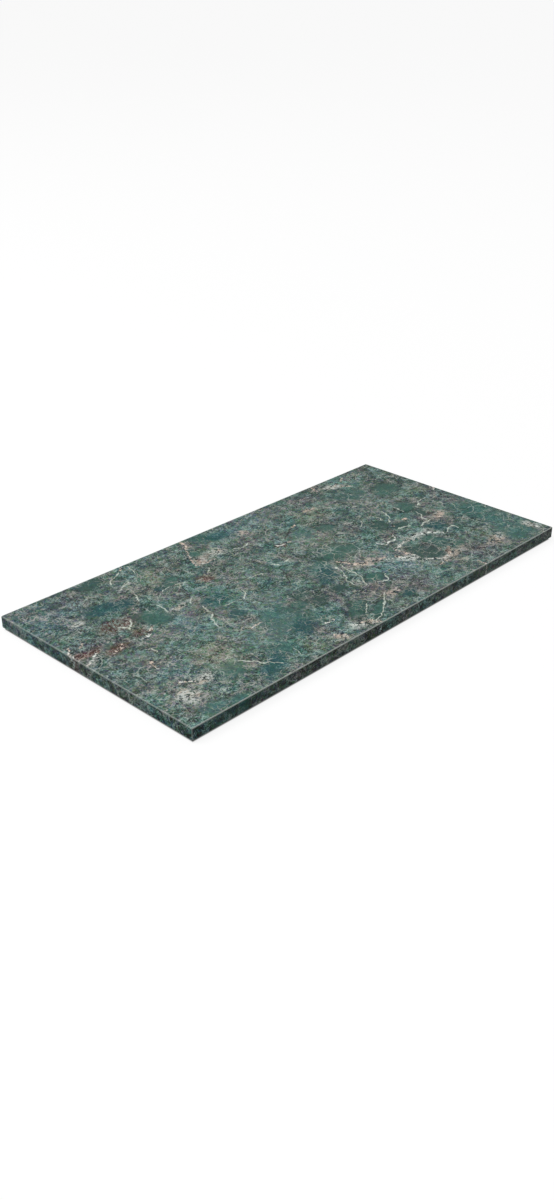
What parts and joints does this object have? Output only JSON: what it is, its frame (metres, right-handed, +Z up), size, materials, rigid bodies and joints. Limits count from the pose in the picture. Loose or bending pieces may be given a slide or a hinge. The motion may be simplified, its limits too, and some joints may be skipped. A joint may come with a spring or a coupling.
{
  "type": "granite slab",
  "caption": "Rectangular polished green granite bench slab with eased edges, a resin-bonded net backing and flat rubber feet, for tooling and punching leather on.",
  "frame": {"origin": "on the bench, under the middle of the slab", "axes": "+X along the slab's long side to the right, +Y across it to the back, +Z up out of the polished face"},
  "size_m": [0.6096, 0.3048, 0.0168],
  "materials": {
    "granite": "satin",
    "glass_net": "satin",
    "rubber": "matte"
  },
  "bodies": {
    "root": {"stone_slab": "granite", "net_backing": "glass_net", "foot_front_left": "rubber", "foot_front_middle": "rubber", "foot_front_right": "rubber", "foot_back_left": "rubber", "foot_back_middle": "rubber", "foot_back_right": "rubber"}
  },
  "joints": []
}
